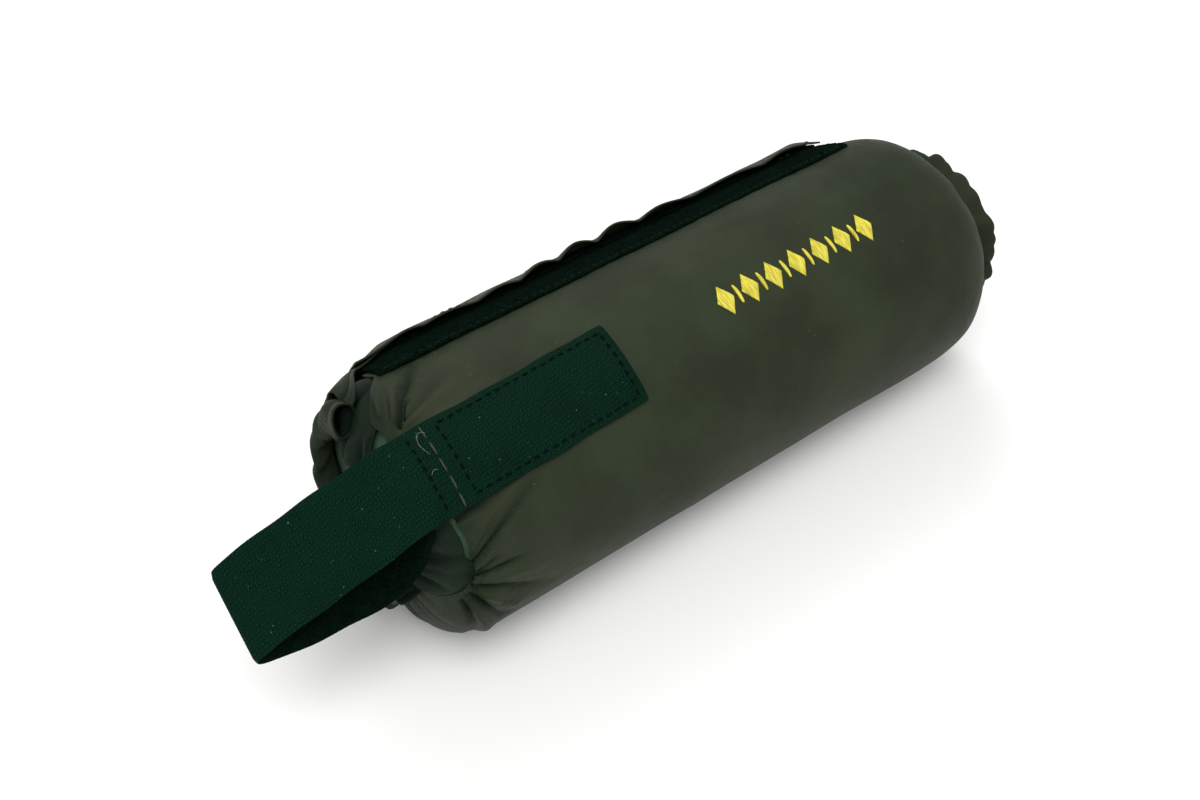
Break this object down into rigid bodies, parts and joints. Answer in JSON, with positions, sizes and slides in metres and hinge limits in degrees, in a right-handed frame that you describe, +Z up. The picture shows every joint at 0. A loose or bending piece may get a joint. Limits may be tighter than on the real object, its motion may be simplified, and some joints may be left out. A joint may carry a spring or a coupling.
{
  "type": "training bumper",
  "caption": "Fabric-covered foam cylinder with gathered elastic ends, a lengthwise touch-fastener seam and a hand strap loop, used as a throwing bumper or float.",
  "frame": {"origin": "centre of the bounding box's footprint, on the surface that the sleeve rests on", "axes": "+Z up; +X along the sleeve, from the hand loop's end to the plain end; the seam is on the back, at +Y, and the strap faces forward and up, at -Y +Z"},
  "size_m": [0.3213, 0.0946, 0.0962],
  "materials": {
    "coated_nylon": "satin",
    "foam": "matte",
    "hook_tape": "matte",
    "pile_tape": "matte",
    "elastic": "matte",
    "dark_thread": "satin",
    "brown_thread": "satin",
    "yellow_thread": "satin"
  },
  "bodies": {
    "sleeve": {"foam_core": "foam", "cover_panel": "coated_nylon", "near_hem": "coated_nylon", "far_hem": "coated_nylon", "near_elastic": "elastic", "far_elastic": "elastic", "near_hem_stitch": "dark_thread", "far_hem_stitch": "dark_thread", "closure_pile_tape": "pile_tape", "pile_tape_stitch": "dark_thread", "strap_sewn_leg": "hook_tape", "strap_return_end": "hook_tape", "strap_box_stitch": "dark_thread", "strap_cover_edge_stitch": "brown_thread", "strap_return_stitch": "dark_thread", "embroidered_lozenge_1": "yellow_thread", "embroidered_lozenge_2": "yellow_thread", "embroidered_lozenge_3": "yellow_thread", "embroidered_lozenge_4": "yellow_thread", "embroidered_lozenge_5": "yellow_thread", "embroidered_lozenge_6": "yellow_thread", "embroidered_lozenge_7": "yellow_thread", "embroidered_bar_1": "yellow_thread", "embroidered_bar_2": "yellow_thread", "embroidered_bar_3": "yellow_thread", "embroidered_bar_4": "yellow_thread", "embroidered_bar_5": "yellow_thread", "embroidered_bar_6": "yellow_thread"},
    "flap": {"closure_flap": "coated_nylon", "closure_hook_tape": "hook_tape", "flap_edge_stitch": "dark_thread", "flap_inner_stitch": "dark_thread"},
    "hand_loop": {"strap_loop": "hook_tape"}
  },
  "joints": [
    {"name": "hand_loop_bend", "type": "hinge", "parent": "sleeve", "child": "hand_loop", "pos_m": [-0.0965, -0.02496, 0.08871], "axis": [0, 0.866, 0.5], "range_deg": [0, 100], "stiffness_Nm_per_rad": 0.05},
    {"name": "flap_open", "type": "hinge", "parent": "sleeve", "child": "flap", "pos_m": [0.0238, 0.04658, 0.05545], "axis": [-1, 0, 0], "range_deg": [0, 120]}
  ]
}
